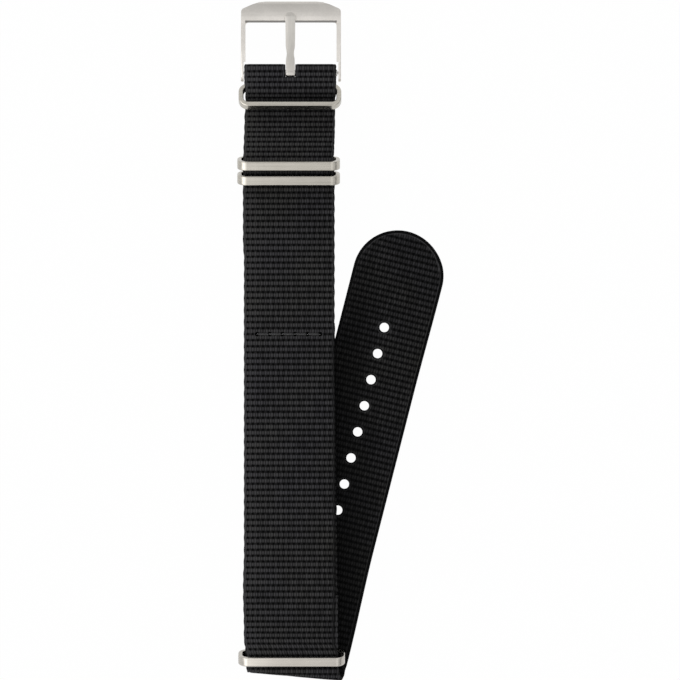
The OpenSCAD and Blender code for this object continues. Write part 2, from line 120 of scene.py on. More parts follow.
# %% Helpers for node trees
def feed(tree, value, socket):
    """Gives an input a plain number, a plain colour or the output of another node."""
    if isinstance(value, (int, float)):
        socket.default_value = value
    elif isinstance(value, tuple):
        socket.default_value = (*value, 1)
    else:
        tree.links.new(value, socket)


def add(tree, kind, inputs=None, **settings):
    """A new node. inputs says what feeds each of its inputs, by name or by number."""
    node = tree.nodes.new(kind)
    for key, value in settings.items():
        setattr(node, key, value)
    for label, value in (inputs or {}).items():
        feed(tree, value, node.inputs[label])
    return node


def calc(tree, operation, *values):
    """A Math node on outputs or plain numbers."""
    return add(tree, "ShaderNodeMath", dict(enumerate(values)), operation=operation).outputs[0]


def times(tree, product, *factors):
    for factor in factors:
        product = calc(tree, "MULTIPLY", product, factor)
    return product


def spread(tree, value, low, high, to_low=0.0, to_high=1.0, smooth=False):
    """Spreads low..high over to_low..to_high, and holds the end values outside."""
    inputs = {"Value": value, "From Min": low, "From Max": high, "To Min": to_low, "To Max": to_high}
    way = "SMOOTHSTEP" if smooth else "LINEAR"
    return add(tree, "ShaderNodeMapRange", inputs, interpolation_type=way).outputs["Result"]


def split(tree, vector):
    """The three parts of a vector."""
    return add(tree, "ShaderNodeSeparateXYZ", {0: vector}).outputs


def seen_rays(tree):
    """1 for rays from the camera or from a shiny or clear surface, else 0."""
    rays = add(tree, "ShaderNodeLightPath").outputs
    shiny = calc(tree, "MAXIMUM", rays["Is Glossy Ray"], rays["Is Transmission Ray"])
    return calc(tree, "MAXIMUM", rays["Is Camera Ray"], shiny)


def show(tree, how_seen, own, white, output):
    """Rays that carry light meet the shader own, and the camera and the steel see the white one."""
    mix = add(tree, "ShaderNodeMixShader", {0: how_seen, 1: own.outputs[0], 2: white.outputs[0]})
    add(tree, output, {0: mix.outputs[0]})


print("node helpers are ready")

# %% [markdown]
# What the steel sees of the room isn't even: a ceiling that is paler over the folded end, a bright wall at the left, a
# pale screen at the right, a window beyond the buckle, and a darker band low down. That band draws the fine grey
# lines along the steel's edges. Each is a brightness that changes softly from one direction to another.

# %% World
WORLD_LIGHT = 0.6
ROOM_CEILING = (1.08, 0.62)
ROOM_LOW, ROOM_LEFT, ROOM_RIGHT = 0.3, 2.6, 1.4
ROOM_FAR_WINDOW, ROOM_RIGHT_DIM = 1.1, 0.86
WHITE = (1, 1, 1)

world = bpy.data.worlds.new("studio")
world.use_nodes = True
world.cycles.sampling_method = "NONE"
bpy.context.scene.world = world
tree = world.node_tree
tree.nodes.clear()
x, y, z = split(tree, add(tree, "ShaderNodeTexCoord").outputs["Generated"])


def glow(direction, *numbers):
    return spread(tree, direction, *numbers, smooth=True)


ceiling = times(tree, glow(y, -0.35, 0.8, *ROOM_CEILING), glow(z, 0.05, 0.45, ROOM_LOW, 1.0))
ceiling = times(tree, ceiling, glow(x, -0.75, -0.15, ROOM_LEFT, 1.0), glow(x, 0.0, 0.25, 1.0, ROOM_RIGHT_DIM))
far_window = glow(y, 0.7, 0.85, 0.0, ROOM_FAR_WINDOW)
right_screen = times(tree, glow(x, 0.2, 0.4, 0.0, ROOM_RIGHT), glow(x, 0.5, 0.75, 1.0, 0.0))
room = calc(tree, "MAXIMUM", ceiling, calc(tree, "MAXIMUM", far_window, right_screen))
room = calc(tree, "MAXIMUM", room, add(tree, "ShaderNodeLightPath").outputs["Is Camera Ray"])
own, white = (add(tree, "ShaderNodeBackground", {"Color": WHITE, "Strength": s}) for s in (WORLD_LIGHT, room))
show(tree, seen_rays(tree), own, white, "ShaderNodeOutputWorld")
print("the room has", len(tree.nodes), "nodes")

# %% [markdown]
# The ground is a pale sheet of paper. It hangs 14 mm under the strap, as when a strap is held on clear glass over
# paper: then it catches no shadow that the camera could see, and the buckle has room to swing down. Seen by the
# camera, and seen in the steel, it is nearly pure white, as in a picture shot for a catalogue. Light Path tells those
# rays from the rays that carry light, so the white adds no light. A ray that is aimed at a light can't be told apart
# so, which is why world and paper are only met by chance, never aimed at.

# %% Floor
PAPER_COLOUR, PAPER_WHITE = (0.85, 0.85, 0.85), 0.985
PAPER_DROP, PAPER_SIZE = 14 * MM, 6

paper = bpy.data.materials.new("pale_paper")
paper.use_nodes = True
paper.cycles.emission_sampling = "NONE"
tree = paper.node_tree
tree.nodes.clear()
matt = add(tree, "ShaderNodeBsdfDiffuse", {"Color": PAPER_COLOUR})
how_seen = times(tree, seen_rays(tree), PAPER_WHITE)
show(tree, how_seen, matt, add(tree, "ShaderNodeEmission"), "ShaderNodeOutputMaterial")

bpy.ops.mesh.primitive_plane_add(size=PAPER_SIZE, location=(0, 0, -PAPER_DROP))
floor = bpy.context.object
floor.name = "floor"
floor.data.materials.append(paper)
print("floor is", floor.dimensions.x, "m wide")

# %% [markdown]
# ## The way the webbing runs
# Webbing doesn't stretch, so its middle line is made of straight lines and round bends only. The CAD lists the bends
# as centre, radius and side, and runs from each bend to the next along the line that touches both. The same list
# gives the same way here, with finer steps in the bends.

# %% Sizes that the CAD gives, in millimetres
ORIGIN = (-13.6801, 71.5889)
WEB_W, WEB_T, LAYER = 24.0, 1.2, 1.25
RING_1_Y, RING_2_Y, RING_3_Y, SEAM_Y, RING_4_Y, FOLD_Y = -3.9, -23.5, -27.4, -69.7, -155.0, -156.9
RING_Z, RING_4_Z, POCKET_R, POCKET_4_R = 2.7279, 3.8924, 2.1279, 2.0424
BAR_Z, LOOP_R = 2.4, 1.8
TOP_SHIFT, FOLD_SHIFT, SHORT_SHIFT = 0.4, 1.5, 0.4
TAIL_ANGLE, TAIL_L = 14.3, 106.4
HOLE_D, HOLE_PITCH, HOLE_N, FIRST_HOLE = 2.5, 7.19, 8, 14.4
FOLD_SLACK = 0.02
TOP_BLEND, FOLD_BLEND = 16, 6
LOOP_END_Y = RING_4_Y + 16
LOOP_STITCH_Y = LOOP_END_Y - 3
CREST_R = POCKET_4_R + LAYER
LONG_END, SHORT_END = 1.5, 3.0
STEP_TOP_Y, STEP_FOOT_Y = SEAM_Y + 5.7, SEAM_Y + 21.7
SOFT_R, RAMP_R, DIP_R = 8, 6, 2.5


def level(n):
    """Middle height of a layer of webbing: 0 lies on the floor."""
    return WEB_T / 2 + n * LAYER


FOLD_R = (RING_4_Z + CREST_R - level(0)) / 2 - FOLD_SLACK
print(f"the bottom fold has a radius of {FOLD_R:.2f} mm")

# %% Route from bend to bend
BEND_STEP = math.radians(3)


def left(h):
    """Direction at the left of a heading."""
    return np.array([-math.sin(h), math.cos(h)])


def heading(a, b):
    """Direction of the line that touches bend a and then bend b."""
    dy, dz = b[0] - a[0], b[1] - a[1]
    turn = math.atan2(dz, dy)
    turn += 2 * math.pi if turn < -math.pi / 2 else 0
    return turn - math.asin((b[3] * b[2] - a[3] * a[2]) / math.hypot(dy, dz))


def route(bends, start, end=None):
    """Points [y, z, heading] along the bends, and the distance travelled at each."""
    points = []
    for i, bend in enumerate(bends):
        h0 = start if i == 0 else heading(bends[i - 1], bend)
        h1 = heading(bend, bends[i + 1]) if i + 1 < len(bends) else (end if end is not None else h0)
        count = max(1, math.ceil(abs(h1 - h0) / BEND_STEP)) if bend[2] else 0
        for k in range(count + 1):
            h = h0 + (h1 - h0) * (k / count if count else 0)
            points.append([*(np.array(bend[:2]) - bend[3] * bend[2] * left(h)), h])
    points = np.array(points)
    travel = np.concatenate([[0], np.cumsum(np.hypot(*np.diff(points[:, :2], axis=0).T))])
    return points, travel


under_bends = [
    [SEAM_Y - LONG_END, level(2), 0, 1],
    [STEP_TOP_Y, level(2) - SOFT_R, SOFT_R, -1],
    [STEP_FOOT_Y, level(0) + SOFT_R, SOFT_R, 1],
]
over_bends = [
    [0, BAR_Z, LOOP_R, 1],
    [RING_1_Y, RING_Z, POCKET_R, 1],
    [RING_1_Y - 5.2, level(1) + DIP_R, DIP_R, -1],
    [RING_2_Y + 9.5, level(1) + RAMP_R, RAMP_R, -1],
    [RING_2_Y, RING_Z, POCKET_R, 1],
    [RING_3_Y, RING_Z, POCKET_R, 1],
    [RING_3_Y - 9.5, level(1) + RAMP_R, RAMP_R, -1],
    [STEP_FOOT_Y, level(0) + SOFT_R, SOFT_R - LAYER, -1],
    [STEP_TOP_Y, level(2) - SOFT_R, SOFT_R + LAYER, 1],
    [SEAM_Y - 2.3, level(3) - SOFT_R, SOFT_R, 1],
    [SEAM_Y - 11.5, level(2) + SOFT_R, SOFT_R, -1],
    [LOOP_END_Y + 10, level(2) + SOFT_R, SOFT_R, -1],
    [LOOP_END_Y + 1.6, level(3) - SOFT_R, SOFT_R, 1],
    [RING_4_Y + 8, level(2) + RAMP_R, RAMP_R - LAYER, -1],
    [RING_4_Y, RING_4_Z, CREST_R, 1],
]
short_bends = [
    [SEAM_Y + SHORT_END, level(1), 0, 1],
    [RING_4_Y, RING_4_Z, POCKET_4_R, -1],
    [RING_4_Y + 8, level(2) + RAMP_R, RAMP_R, 1],
    [LOOP_END_Y, level(2), 0, 1],
]
long_route, long_travel = route(under_bends + over_bends, 0, math.pi)
short_route, short_travel = route(short_bends, math.pi)
CREST_S = long_travel[-1]
TILT = math.radians(TAIL_ANGLE / 2)
FOLD_S = CREST_S + RING_4_Y - FOLD_Y
TAIL_S = FOLD_S + math.pi * FOLD_R / math.cos(TILT)
TIP_S = TAIL_S + TAIL_L
LONG_LENGTH, SHORT_LENGTH = TIP_S + WEB_W / 2, short_travel[-1]
print(f"long strap {LONG_LENGTH:.1f} mm, short strap {SHORT_LENGTH:.1f} mm")

# %% [markdown]
# A point of the cloth is known by how far along the strap it lies, how far across, and how high over the middle of
# the cloth. Where the strap folds at the bottom it wraps a cylinder that leans by half of the tail's angle. Paper
# does the same when a strip is folded askew, and that is why the tail comes out at 14 degrees.

# %% From cloth to space
FOLD_BULGE, BULGE_LEAN, BULGE_LEAST, BULGE_MOST = 0.28, 0.036, -0.1, 0.7


def ease(t):
    """Goes softly from 0 to 1 while t does."""
    t = np.clip(t, 0, 1)
    return t * t * (3 - 2 * t)


def fade(value, start, length):
    """1 up to start, and softly down to 0 over the length after it."""
    return 1 - ease((value - start) / length)


def run_x(y):
    """Sideways place of the long strap's middle line."""
    return TOP_SHIFT * ease((y - RING_3_Y) / TOP_BLEND) + FOLD_SHIFT * ease((FOLD_Y + FOLD_BLEND - y) / FOLD_BLEND)


def along_route(points, travel, s, x, lift, side, middle):
    """Points x across from the middle line and lift over it. side is 1 or -1, as the cloth's outer face looks."""
    y, z, h = (np.interp(s, travel, points[:, k]) for k in range(3))
    return np.stack([middle(y) + side * x, y + side * lift * np.sin(h), z - side * lift * np.cos(h)], axis=-1)


def place_long(s, x, lift):
    """Points of the long strap, in the CAD's millimetres."""
    on_route = along_route(long_route, long_travel, np.minimum(s, CREST_S), x, lift, 1, run_x)
    cos, sin = math.cos(TILT), math.sin(TILT)
    axis, out, up = np.array([cos, -sin, 0]), np.array([-sin, -cos, 0]), np.array([0, 0, 1.0])
    rolled, slid = (s - FOLD_S) * cos - x * sin, (s - FOLD_S) * sin + x * cos
    turn = np.clip(rolled / FOLD_R, 0, math.pi)[:, None]
    before = np.minimum(rolled, 0)[:, None]
    after = np.maximum(rolled - math.pi * FOLD_R, 0)[:, None]
    normal = np.cos(turn) * up + np.sin(turn) * out
    # The crest over the bottom ring stands a hair higher than the fold's own top
    rise_end = FOLD_S + x * math.tan(TILT)
    rise = 2 * FOLD_SLACK * np.clip((rise_end - s) / (rise_end - CREST_S), 0, 1)[:, None]
    # The cloth doesn't crease sharply: the fold stands off its cylinder, most of all at its left end
    bulge = np.clip(FOLD_BULGE - BULGE_LEAN * x, BULGE_LEAST, BULGE_MOST)[:, None] * np.sin(turn) ** 2
    bent = (
        np.array([FOLD_SHIFT, FOLD_Y, level(0) + FOLD_R]) + slid[:, None] * axis + (before - after) * out
        + normal * (FOLD_R + lift[:, None] + bulge) + rise * up
    )
    slip = (run_x(RING_4_Y) - FOLD_SHIFT) * np.clip((FOLD_S - s) / (FOLD_S - CREST_S), 0, 1)
    bent[:, 0] += slip
    return np.where((s < CREST_S)[:, None], on_route, bent)


def place_short(s, x, lift):
    """Points of the short strap."""
    return along_route(short_route, short_travel, s, x, lift, -1, lambda y: SHORT_SHIFT)


def to_scene(points):
    """From the CAD drawing's millimetres to the frame's metres."""
    return (np.asarray(points) + [ORIGIN[0], ORIGIN[1], 0]) * MM


def reach(points, travel, y, from_end=False):
    """Distance along a route at which it passes y, the first time or the last."""
    hits = np.flatnonzero(np.diff(np.sign(points[:, 0] - y)) != 0)
    k = hits[-1] if from_end else hits[0]
    t = (y - points[k, 0]) / (points[k + 1, 0] - points[k, 0])
    return travel[k] + t * (travel[k + 1] - travel[k])


def upper(y):
    """Distance along the long strap at which its upper run passes y."""
    return reach(long_route, long_travel, y, True)


print("the tail starts", round(float(TAIL_S), 1), "mm along the strap")

# %% [markdown]
# ## The weave
# The webbing is a warp-faced rib weave. A thick weft yarn lies across in every rib, and the fine warp yarns climb
# over it side by side. The ribs are 1.6 mm apart and deep enough to catch the light on their crests, so they are
# made as real shape. A displacement map would do it too, but a mesh built row by row keeps the rows on the ribs.
# At its turn the weft pulls one edge in, and two ribs on, at its next turn there, again: both edges are wavy.

# %% Ribs along a strap
RIB_PITCH, TOP_PITCH = 1.6, 1.43
RIB_DEPTH, RIB_ROUND = 0.34, 0.9
ROWS_IN_RIB, END_GAP = (0.0, 0.12, 0.35, 0.65, 0.88), 0.05
COUNTING_STEPS = 4000


class Weave:
    """Rib rows of one strap: how many ribs have passed at a distance along it, and how deep they are there."""

    def __init__(self, length, pitch):
        self.s = np.linspace(0, length, COUNTING_STEPS)
        step = np.diff(self.s) / pitch(self.s[1:])
        self.ribs = np.concatenate([[0], np.cumsum(step)])
        self.length = length

    def phase(self, s):
        return np.interp(s, self.s, self.ribs)

    def rows(self):
        wanted = np.array([k + f for k in range(int(self.ribs[-1]) + 1) for f in ROWS_IN_RIB])
        wanted = wanted[(wanted > END_GAP) & (wanted < self.ribs[-1] - END_GAP)]
        return np.concatenate([[0], np.interp(wanted, self.ribs, self.s), [self.length]])


def rib_shape(phase):
    """0 in the furrow between two ribs, 1 on the crest."""
    return np.abs(np.sin(np.pi * phase)) ** RIB_ROUND


def long_pitch(s):
    """The photographed ribs lie a little closer where the strap dips between the rings."""
    return np.where((s > upper(0)) & (s < upper(RING_2_Y)), TOP_PITCH, RIB_PITCH)


weaves = {"long": Weave(LONG_LENGTH, long_pitch), "short": Weave(SHORT_LENGTH, lambda s: np.full_like(s, RIB_PITCH))}
for name, weave in weaves.items():
    print(name, "strap has", int(weave.ribs[-1]), "ribs")

# %% [markdown]
# The cloth isn't equally wide all the way. Where the loop squeezes in between the buckle's legs it spreads, and so it
# does where it is folded at the bottom. Each line of the list widens one edge, and they add up.

# %% Where the cloth is wider
LOOP_S = float(long_travel[np.argmax(long_route[:, 0])])
# Side (-1 left, 1 right), millimetres, and where along the strap it starts, is full, begins to end and has ended
LONG_WIDER = [
    (-1, 0.3, LOOP_S - 8, LOOP_S - 5, LOOP_S + 5, LOOP_S + 8),
    (1, 0.3, LOOP_S - 8, LOOP_S - 5, LOOP_S + 9, LOOP_S + 11),
    (-1, 0.27, upper(-8), upper(-12), upper(-45), upper(-50)),
    (-1, 0.22, upper(-128), upper(-136), upper(-139), upper(-148)),
    (-1, 0.8, FOLD_S - 4, FOLD_S, TAIL_S, TAIL_S + 4),
    (1, 0.3, upper(-24), upper(-28), CREST_S, FOLD_S),
    (1, 0.25, upper(-70), upper(-95), upper(-140), upper(-150)),
    (1, 0.6, FOLD_S + 2, FOLD_S + 8, TAIL_S + 3, TAIL_S + 34),
    (1, 0.3, TIP_S - 30, TIP_S, TIP_S + 4, TIP_S + 12),
]
SHORT_WIDER = [(-1, 0.8, 2, SHORT_LENGTH * 0.8, SHORT_LENGTH + 1, SHORT_LENGTH + 2)]
print("the long strap is widened in", len(LONG_WIDER), "places")

# %% [markdown]
# Near an edge the cloth thins to a rounded lip. Its last rib half lies out of step, because the weft turns back
# there, and a shallow line parts this selvedge from the rest. Heat has sealed the cut ends, the round tip and the
# holes: there the ribs melt into a smooth dark rim. Sewing presses the ribs flat along its row.
#
# The tang's eye turns in a slot of the loop. In the upper layer the slot ends over the eye, so there the cloth's
# underside is hollowed to clear it. The tail lies in the main strap's shade, and the material needs to know where.

# %% Height of the cloth over its middle
TANG_X, SLOT_HALF, EYE_R, EYE_GAP, EYE_REACH = 0.43, 1.3, 1.93, 0.1, 7
EDGE_ROUND, EDGE_THIN, EDGE_WAVE = 0.45, 0.3, 0.12
SELVEDGE, SELVEDGE_LINE, LINE_REACH = 0.72, 0.07, 0.16
SELVEDGE_FLOOR, SELVEDGE_RIB = 0.3, 0.6
SEALED_END, SEALED_RIM, SEALED_SINK, RIM_GROWS = (0.15, 0.5), (0.62, 0.42), 0.07, 3
SEAM_SINK, SEAM_REACH, SEAM_FLAT = 0.13, 0.6, 0.8
LOOP_REACH, LOOP_FLAT = 1.5, 0.75
TAIL_SHADE, TURN_SHADE = (3.0, 13.0), 3
EDGE_SHADE, EDGE_SHADE_DEPTH, EDGE_SHADE_Y, SHADE_GROWS = (0.6, 0.45), 0.8, -66, 8


def bell(distance, reach):
    return np.exp(-((distance / reach) ** 2))


class Cloth:
    """The two faces of one strap, as heights over the middle of the cloth."""

    def __init__(self, weave, seams, wider, round_tip=False, loop_s=None):
        self.weave, self.seams, self.wider, self.loop_s = weave, seams, wider, loop_s
        self.tip_s = weave.length - WEB_W / 2 if round_tip else math.inf
        self.round_tip = round_tip

    def half_width(self, s):
        past = np.clip(s - self.tip_s, 0, WEB_W / 2 - 0.01)
        return np.sqrt((WEB_W / 2) ** 2 - past**2)

    def stretch(self, s, x):
        """How many times its plain width the cloth is here."""
        more = sum(
            width * (x * side >= 0) * ease((s - start) / (full - start)) * fade(s, ebb, end - ebb)
            for side, width, start, full, ebb, end in self.wider
        )
        return 1 + more / (WEB_W / 2)

    def edge_gap(self, s, x):
        """Distance to the side edge or to the round tip's edge."""
        past = np.maximum(s - self.tip_s, 0)
        return np.maximum(WEB_W / 2 - np.hypot(x / self.stretch(s, x), past), 0)

    def melt(self, s, x):
        """1 where heat has sealed the cloth, 0 on the plain weave."""
        ends = s if self.round_tip else np.minimum(s, self.weave.length - s)
        melted = fade(ends, *SEALED_END)
        if self.round_tip:
            rim = fade(self.edge_gap(s, x), *SEALED_RIM)
            melted = np.maximum(melted, rim * ease((s - TAIL_S) / RIM_GROWS))
        return melted

    def shade(self, s, x, across):
        """1 on the tail close beside the main strap, whose own right edge rolls down into this shade too."""
        if not self.round_tip:
            return np.zeros_like(s)
        tail = (s > TAIL_S - TURN_SHADE) * fade(across - WEB_W / 2, *TAIL_SHADE)
        grown = ease((s - upper(EDGE_SHADE_Y)) / SHADE_GROWS)
        rolled = (x > 0) * (s < FOLD_S) * grown * fade(self.edge_gap(s, x), *EDGE_SHADE)
        return tail + EDGE_SHADE_DEPTH * rolled

    def lift(self, s, x, face, melted):
        """face is 1 for the outer face and -1 for the inner one."""
        phase, gap = self.weave.phase(s), self.edge_gap(s, x)
        beside = s < self.tip_s
        turned_back = rib_shape(phase + 0.5) * SELVEDGE_RIB + SELVEDGE_FLOOR
        rib = np.where(beside * (gap < SELVEDGE), turned_back, rib_shape(phase))
        press = sum(bell(s - at, SEAM_REACH) for at in self.seams)
        depth = RIB_DEPTH * (1 - melted) * (1 - SEAM_FLAT * np.clip(press, 0, 1))
        if self.loop_s is not None:
            depth = depth * (1 - LOOP_FLAT * bell(s - self.loop_s, LOOP_REACH))
        lip = np.clip(gap / EDGE_ROUND, 0, 1)
        body = WEB_T / 2 * (EDGE_THIN + (1 - EDGE_THIN) * np.sqrt(1 - (1 - lip) ** 2))
        line = SELVEDGE_LINE * bell(gap - SELVEDGE, LINE_REACH) * beside
        height = face * (body - depth * (1 - rib) - line - SEALED_SINK * melted - SEAM_SINK * press)
        if self.loop_s is not None and face < 0:
            y, z, _ = (np.interp(s, long_travel, long_route[:, k]) for k in range(3))
            beyond = (s > self.loop_s) * (s < self.loop_s + EYE_REACH)
            over_eye = beyond * (np.abs(x - TANG_X + TOP_SHIFT) < SLOT_HALF + EYE_GAP)
            eye_top = BAR_Z + np.sqrt(np.maximum(EYE_R**2 - y**2, 0)) - z
            height = np.where(over_eye * (np.abs(y) < EYE_R), np.maximum(height, eye_top), height)
        return height


print("ribs are", RIB_DEPTH, "mm deep")

# %% [markdown]
# The mesh is a closed ring of points at every row: the outer face, the right edge, the inner face, the left edge.
# A hole is punched by leaving out a patch of faces and filling it with rings of points that shrink from the patch's
# square outline to the round hole, on both faces, and then a wall between them.

# %% Cloth mesh with punched holes
EDGE_COLUMNS = (0.1, 0.35, 0.7, 1.05)
COLUMN_STEP = 0.68
SIDE_HALF, SIDE_MELTS = 0.13, 0.3
HOLE_RINGS = (0.3, 0.55, 0.78, 0.92, 1.0)
HOLE_SINK, RIM_SOLID, RIM_DIP = 0.16, 0.3, 0.5
PINHOLE, PINHOLE_HALF = 0.05, 0.1
SLOT_SINK, ROW_GAP = 0.12, 0.12


def columns(stops):
    """Places of the columns across the strap; one falls on each stop."""
    half = WEB_W / 2
    marks = [EDGE_COLUMNS[-1] - half, *stops, half - EDGE_COLUMNS[-1]]
    xs = [d - half for d in EDGE_COLUMNS[:-1]]
    for a, b in zip(marks, marks[1:]):
        n = math.ceil((b - a) / COLUMN_STEP)
        xs += [a + (b - a) * k / n for k in range(n)]
    return np.array(xs + [marks[-1]] + [half - d for d in reversed(EDGE_COLUMNS[:-1])])


def cloth_mesh(name, cloth, place, stops, extra_rows=(), holes=(), slots=()):
    """holes: (s, x, radius, half length and half width of the patch, melted rim, pit). slots: (s0, s1, x0, x1).
    A pit is a needle hole: the cloth closes to a pinhole below its mouth."""
    rows = cloth.weave.rows()
    for s0, s1, _, _ in slots:
        rows = np.sort([*[r for r in rows if min(abs(r - s0), abs(r - s1)) > ROW_GAP], s0, s1])
    rows = np.unique(np.concatenate([rows, extra_rows]))
    xs = columns(stops)
    n_rows, n = len(rows), len(xs)
    around = 2 * n + 4
    s = np.repeat(rows, around).reshape(n_rows, around)
    wave = 0.5 + 0.5 * np.cos(np.pi * cloth.weave.phase(s))
    woven_edge = fade(s, TAIL_S, RIM_GROWS) if cloth.round_tip else 1
    share = np.concatenate([xs, [WEB_W / 2] * 2, xs[::-1], [-WEB_W / 2] * 2]) / (WEB_W / 2)
    x = share * (cloth.half_width(s) - EDGE_WAVE * np.where(share < 0, wave, 1 - wave) * woven_edge)
    x *= cloth.stretch(s, x)
    melted = cloth.melt(s, x)
    lift = np.zeros_like(x)
    for sign, part in ((1, slice(0, n)), (-1, slice(n + 2, 2 * n + 2))):
        lift[:, part] = cloth.lift(s[:, part], x[:, part], sign, melted[:, part])
    rim = SIDE_HALF * (1 - SIDE_MELTS * melted[:, n])
    lift[:, n], lift[:, n + 1], lift[:, 2 * n + 2], lift[:, 2 * n + 3] = rim, -rim, -rim, rim
    table = [np.stack([s, x, lift, melted], axis=-1).reshape(-1, 4)]

    def top(i, j):
        return i * around + j

    def bottom(i, j):
        return i * around + 2 * n + 1 - j

    i, k = np.meshgrid(np.arange(n_rows - 1), np.arange(around), indexing="ij")
    keep = np.ones((n_rows - 1, around), bool)
    quads = []

    def strip(a, b):
        """Faces between two closed loops of points."""
        quads.append(np.stack([a, np.roll(a, -1), np.roll(b, -1), b], axis=1))

    def next_loop(loop, sign, p, height, m):
        """A new loop of points on one face of the cloth, joined to the loop before it."""
        new = sum(map(len, table)) + np.arange(len(p))
        table.append(np.stack([*p.T, height, m], axis=1))
        strip(*((loop, new) if sign > 0 else (new, loop)))
        return new

    def cut(r0, r1, c0, c1):
        """Takes out the faces of a patch, and returns its outline on both faces."""
        keep[r0:r1, c0:c1] = False
        keep[r0:r1, 2 * n + 1 - c1:2 * n + 1 - c0] = False
        loop = [(r0, c) for c in range(c0, c1)] + [(r, c1) for r in range(r0, r1)]
        loop += [(r1, c) for c in range(c1, c0, -1)] + [(r, c0) for r in range(r1, r0, -1)]
        return np.array([top(*q) for q in loop]), np.array([bottom(*q) for q in loop])

    for hole_s, hole_x, radius, reach_s, reach_x, rim_w, pit in holes:
        r0, r1 = np.searchsorted(rows, hole_s - reach_s) - 1, np.searchsorted(rows, hole_s + reach_s)
        c0, c1 = np.searchsorted(xs, hole_x - reach_x) - 1, np.searchsorted(xs, hole_x + reach_x)
        up, down = cut(r0, r1, c0, c1)
        edge, middle = table[0][up, :2], np.array([hole_s, hole_x])
        angle = np.arctan2(*(edge - middle).T)
        spokes = np.stack([np.sin(angle), np.cos(angle)], axis=1)
        ends = []
        for sign, loop in ((1, up), (-1, down)):
            for t in HOLE_RINGS:
                p = edge + t * (middle + radius * spokes - edge)
                far = np.hypot(*(p - middle).T) - radius
                m = fade(far, RIM_SOLID * rim_w, (1 - RIM_SOLID) * rim_w)
                height = cloth.lift(*p.T, sign, m) - sign * HOLE_SINK * fade(far, 0, RIM_DIP * rim_w)
                loop = next_loop(loop, sign, p, height, m)
            if pit:
                flat = np.ones(len(p))
                loop = next_loop(loop, sign, middle + PINHOLE * spokes, sign * PINHOLE_HALF * flat, flat)
            ends.append(loop)
        strip(*ends)
    for s0, s1, x0, x1 in slots:
        r0, r1 = np.argmin(abs(rows - s0)), np.argmin(abs(rows - s1))
        c0, c1 = np.argmin(abs(xs - x0)), np.argmin(abs(xs - x1))
        up, down = cut(r0, r1, c0, c1)
        strip(up, down)
        table[0][up, 3] = table[0][down, 3] = 1
        table[0][up, 2] -= SLOT_SINK
        table[0][down, 2] += SLOT_SINK
    a = (i * around + k)[keep]
    b = (i * around + (k + 1) % around)[keep]
    quads.append(np.stack([a, b, b + around, a + around], axis=1))
    for row, flip in ((0, False), (n_rows - 1, True)):
        cap = [[top(row, j), bottom(row, j), bottom(row, j + 1), top(row, j + 1)] for j in range(n - 1)]
        first = row * around
        cap += [[top(row, n - 1), bottom(row, n - 1), first + n + 1, first + n]]
        cap += [[bottom(row, 0), top(row, 0), first + 2 * n + 3, first + 2 * n + 2]]
        quads.append(np.array([q[::-1] for q in cap] if flip else cap))
    used, quads = np.unique(np.concatenate(quads), return_inverse=True)
    s, x, lift, melted = np.concatenate(table)[used].T
    points = to_scene(place(s, x, lift))
    side = np.stack([cloth.edge_gap(s, x), lift < 0, cloth.shade(s, x, points[:, 0] / MM - ORIGIN[0])], axis=1)
    weave = np.stack([x, cloth.weave.phase(s), melted], axis=1)
    return make_mesh(name, points, quads.reshape(-1, 4), {"weave": weave, "side": side})


def make_mesh(name, points, faces, kept):
    """A mesh object whose faces look outward, with the weave's own coordinates kept as attributes."""
    corners = points[faces[:, [0, 1, 2]]], points[faces[:, [0, 2, 3]]]
    volume = sum(float((t[:, 0] * np.cross(t[:, 1], t[:, 2])).sum()) for t in corners)
    mesh = bpy.data.meshes.new(name)
    mesh.from_pydata(points.tolist(), [], (faces[:, ::-1] if volume < 0 else faces).tolist())
    for label, values in kept.items():
        attribute = mesh.attributes.new(label, "FLOAT_VECTOR", "POINT")
        attribute.data.foreach_set("vector", values.astype(np.float32).ravel())
    mesh.shade_smooth()
    print(f"{name}: {len(points)} points, {len(faces)} faces, {abs(volume) / 6 * 1e9:.0f} cubic mm")
    return new_object(name, mesh)


# %% Places of the sewing and of the tang's slot
STITCH, STITCH_N, FIRST_STITCH = 3.35, 6, 3.6
NEEDLE_X = [FIRST_STITCH - WEB_W / 2 + i * STITCH for i in range(STITCH_N)]
SEAM_UNDER_S, SEAM_OVER_S, SHORT_SEAM_S = LONG_END, upper(SEAM_Y), SHORT_END
SHORT_LOOP_IN_S = reach(short_route, short_travel, LOOP_STITCH_Y)
SHORT_LOOP_OUT_S = reach(short_route, short_travel, LOOP_STITCH_Y, True)
SLOT_BACK, SLOT_FRONT = -2.0, -1.12
SLOT_S0 = reach(long_route, long_travel, SLOT_BACK)
past_loop = long_travel > LOOP_S
SLOT_S1 = reach(long_route[past_loop], long_travel[past_loop], SLOT_FRONT)
SLOT_X0, SLOT_X1 = TANG_X - TOP_SHIFT - SLOT_HALF, TANG_X - TOP_SHIFT + SLOT_HALF
print(f"slot from {SLOT_S0:.1f} to {SLOT_S1:.1f} mm, loop at {LOOP_S:.1f} mm")

# %% The long strap
# Radius, half length and half width of the patch, and melted rim
NEEDLE_HOLE, PUNCHED_HOLE = (0.48, 0.75, 0.7, 0.3), (HOLE_D / 2, 1.75, 1.7, 0.6)


def needle_holes(s, xs=NEEDLE_X):
    return [(s, x, *NEEDLE_HOLE, True) for x in xs]


